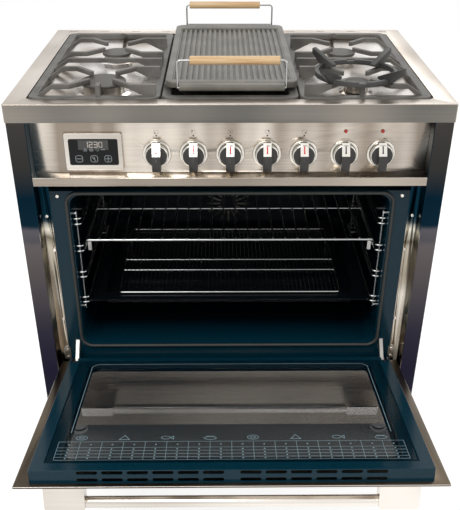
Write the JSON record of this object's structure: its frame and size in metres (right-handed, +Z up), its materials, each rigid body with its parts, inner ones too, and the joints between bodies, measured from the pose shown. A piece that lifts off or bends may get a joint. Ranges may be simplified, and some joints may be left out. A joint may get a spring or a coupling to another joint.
{
  "type": "range cooker",
  "caption": "Free-standing stainless range cooker: gas hob with cast iron grates, griddle and wok ring, electric oven with its drop-down door open, storage drawer.",
  "frame": {"origin": "on the floor under the middle of the worktop", "axes": "+X to the right seen from the front, +Y to the back, +Z up"},
  "size_m": [0.9, 1.0408, 0.979],
  "materials": {
    "body_steel": "polished, dark reflection",
    "back_steel": "galvanised",
    "bright_steel": "fine brushed stainless",
    "drawer_steel": "zinc plated",
    "wire": "chrome plated wire",
    "enamel": "gloss dark blue vitreous enamel",
    "black_cast": "matt enamelled",
    "burner_alloy": "satin",
    "cap_enamel": "matt black enamel",
    "ceramic": "glazed ceramic",
    "knob_black": "satin black with steel coloured grip",
    "brass": "machined",
    "gas_steel": "zinc plated",
    "black_plastic": "moulded",
    "clock_frame": "satin bezel",
    "dark_glass": "dark display glass",
    "lamp_lens": "translucent",
    "oven_glass": "tinted oven glass",
    "lamp_glass": "frosted heat-resistant glass",
    "gasket": "woven seal",
    "beech": "turned and oiled"
  },
  "bodies": {
    "cooker": {"side_panels": "body_steel", "back_panel": "back_steel", "base_pan": "back_steel", "worktop": "bright_steel", "hob_tray": "bright_steel", "control_fascia": "bright_steel", "oven_cavity": "enamel", "door_gasket": "gasket", "shelf_ladders": "wire", "fan_cover": "enamel", "fan_motor": "gas_steel", "heating_elements": "gas_steel", "oven_lamp": "lamp_glass", "burner_heads": "burner_alloy", "burner_caps": "cap_enamel", "burner_electrodes": "ceramic", "gas_manifold": "gas_steel", "gas_taps": "brass", "oven_switches": "black_plastic", "clock_housing": "clock_frame", "clock_glass": "dark_glass", "pilot_lamps": "lamp_lens", "knob_rings": "wire", "hinge_arms": "bright_steel", "legs": "bright_steel", "screws": "bright_steel"},
    "door": {"door_outer_panel": "bright_steel", "door_outer_glass": "oven_glass", "door_inner_frame": "enamel", "door_inner_glass": "oven_glass", "door_handle": "bright_steel", "door_hinges": "bright_steel"},
    "drawer": {"drawer_front": "bright_steel", "drawer_box": "drawer_steel", "drawer_handle": "bright_steel"},
    "rack": {"wire_rack": "wire"},
    "tray": {"baking_tray": "enamel", "tray_grid": "wire"},
    "left_grate": {"grate_left": "black_cast"},
    "centre_grate": {"grate_centre": "black_cast"},
    "right_grate": {"grate_right": "black_cast"},
    "wok_support": {"wok_ring": "black_cast"},
    "griddle_plate": {"griddle": "black_cast"},
    "front_bail": {"bail_front": "wire", "grip_front": "beech"},
    "rear_bail": {"bail_rear": "wire", "grip_rear": "beech"},
    "fan": {"convection_fan": "gas_steel"},
    "thermostat": {"thermostat_knob": "knob_black"},
    "selector": {"selector_knob": "knob_black"},
    "tap_1": {"tap_spindle_1": "brass"},
    "gas_control_1": {"gas_knob_1": "knob_black"},
    "tap_2": {"tap_spindle_2": "brass"},
    "gas_control_2": {"gas_knob_2": "knob_black"},
    "tap_3": {"tap_spindle_3": "brass"},
    "gas_control_3": {"gas_knob_3": "knob_black"},
    "tap_4": {"tap_spindle_4": "brass"},
    "gas_control_4": {"gas_knob_4": "knob_black"},
    "tap_5": {"tap_spindle_5": "brass"},
    "gas_control_5": {"gas_knob_5": "knob_black"}
  },
  "joints": [
    {"name": "door_hinge", "type": "hinge", "parent": "cooker", "child": "door", "pos_m": [0, -0.2842, 0.2575], "axis": [1, 0, 0], "range_deg": [-80.9, 0]},
    {"name": "drawer_slide", "type": "slide", "parent": "cooker", "child": "drawer", "axis": [0, -1, 0], "range_m": [0, 0.36]},
    {"name": "rack_slide", "type": "slide", "parent": "cooker", "child": "rack", "axis": [0, -1, 0], "range_m": [0, 0.28]},
    {"name": "tray_slide", "type": "slide", "parent": "cooker", "child": "tray", "axis": [0, -1, 0], "range_m": [0, 0.3]},
    {"name": "left_grate_lift", "type": "slide", "parent": "cooker", "child": "left_grate", "axis": [0, 0, 1], "range_m": [0, 0.12]},
    {"name": "centre_grate_lift", "type": "slide", "parent": "cooker", "child": "centre_grate", "axis": [0, 0, 1], "range_m": [0, 0.12]},
    {"name": "right_grate_lift", "type": "slide", "parent": "cooker", "child": "right_grate", "axis": [0, 0, 1], "range_m": [0, 0.12]},
    {"name": "wok_ring_lift", "type": "slide", "parent": "right_grate", "child": "wok_support", "axis": [0, 0, 1], "range_m": [0, 0.1]},
    {"name": "griddle_lift", "type": "slide", "parent": "centre_grate", "child": "griddle_plate", "axis": [0, 0, 1], "range_m": [0, 0.15]},
    {"name": "front_bail_fold", "type": "hinge", "parent": "griddle_plate", "child": "front_bail", "pos_m": [0.003, -0.241, 0.9148], "axis": [1, 0, 0], "range_deg": [-42, 80]},
    {"name": "rear_bail_fold", "type": "hinge", "parent": "griddle_plate", "child": "rear_bail", "pos_m": [0.003, 0.268, 0.9148], "axis": [-1, 0, 0], "range_deg": [-42, 80]},
    {"name": "fan_spin", "type": "hinge", "parent": "cooker", "child": "fan", "pos_m": [0, 0.16, 0.47], "axis": [0, 1, 0], "continuous": true},
    {"name": "thermostat_turn", "type": "hinge", "parent": "cooker", "child": "thermostat", "pos_m": [0.237, -0.266, 0.783], "axis": [0, 1, 0], "range_deg": [0, 280]},
    {"name": "selector_turn", "type": "hinge", "parent": "cooker", "child": "selector", "pos_m": [0.313, -0.266, 0.783], "axis": [0, 1, 0], "continuous": true},
    {"name": "gas_turn_1", "type": "hinge", "parent": "cooker", "child": "tap_1", "pos_m": [-0.152, -0.266, 0.783], "axis": [0, -1, 0], "range_deg": [0, 210]},
    {"name": "gas_press_1", "type": "slide", "parent": "tap_1", "child": "gas_control_1", "axis": [0, 1, 0], "range_m": [0, 0.004], "stiffness_N_per_m": 600, "springref_m": -0.002},
    {"name": "gas_turn_2", "type": "hinge", "parent": "cooker", "child": "tap_2", "pos_m": [-0.076, -0.266, 0.783], "axis": [0, -1, 0], "range_deg": [0, 210]},
    {"name": "gas_press_2", "type": "slide", "parent": "tap_2", "child": "gas_control_2", "axis": [0, 1, 0], "range_m": [0, 0.004], "stiffness_N_per_m": 600, "springref_m": -0.002},
    {"name": "gas_turn_3", "type": "hinge", "parent": "cooker", "child": "tap_3", "pos_m": [0, -0.266, 0.783], "axis": [0, -1, 0], "range_deg": [0, 210]},
    {"name": "gas_press_3", "type": "slide", "parent": "tap_3", "child": "gas_control_3", "axis": [0, 1, 0], "range_m": [0, 0.004], "stiffness_N_per_m": 600, "springref_m": -0.002},
    {"name": "gas_turn_4", "type": "hinge", "parent": "cooker", "child": "tap_4", "pos_m": [0.076, -0.266, 0.783], "axis": [0, -1, 0], "range_deg": [0, 210]},
    {"name": "gas_press_4", "type": "slide", "parent": "tap_4", "child": "gas_control_4", "axis": [0, 1, 0], "range_m": [0, 0.004], "stiffness_N_per_m": 600, "springref_m": -0.002},
    {"name": "gas_turn_5", "type": "hinge", "parent": "cooker", "child": "tap_5", "pos_m": [0.152, -0.266, 0.783], "axis": [0, -1, 0], "range_deg": [0, 210]},
    {"name": "gas_press_5", "type": "slide", "parent": "tap_5", "child": "gas_control_5", "axis": [0, 1, 0], "range_m": [0, 0.004], "stiffness_N_per_m": 600, "springref_m": -0.002}
  ]
}
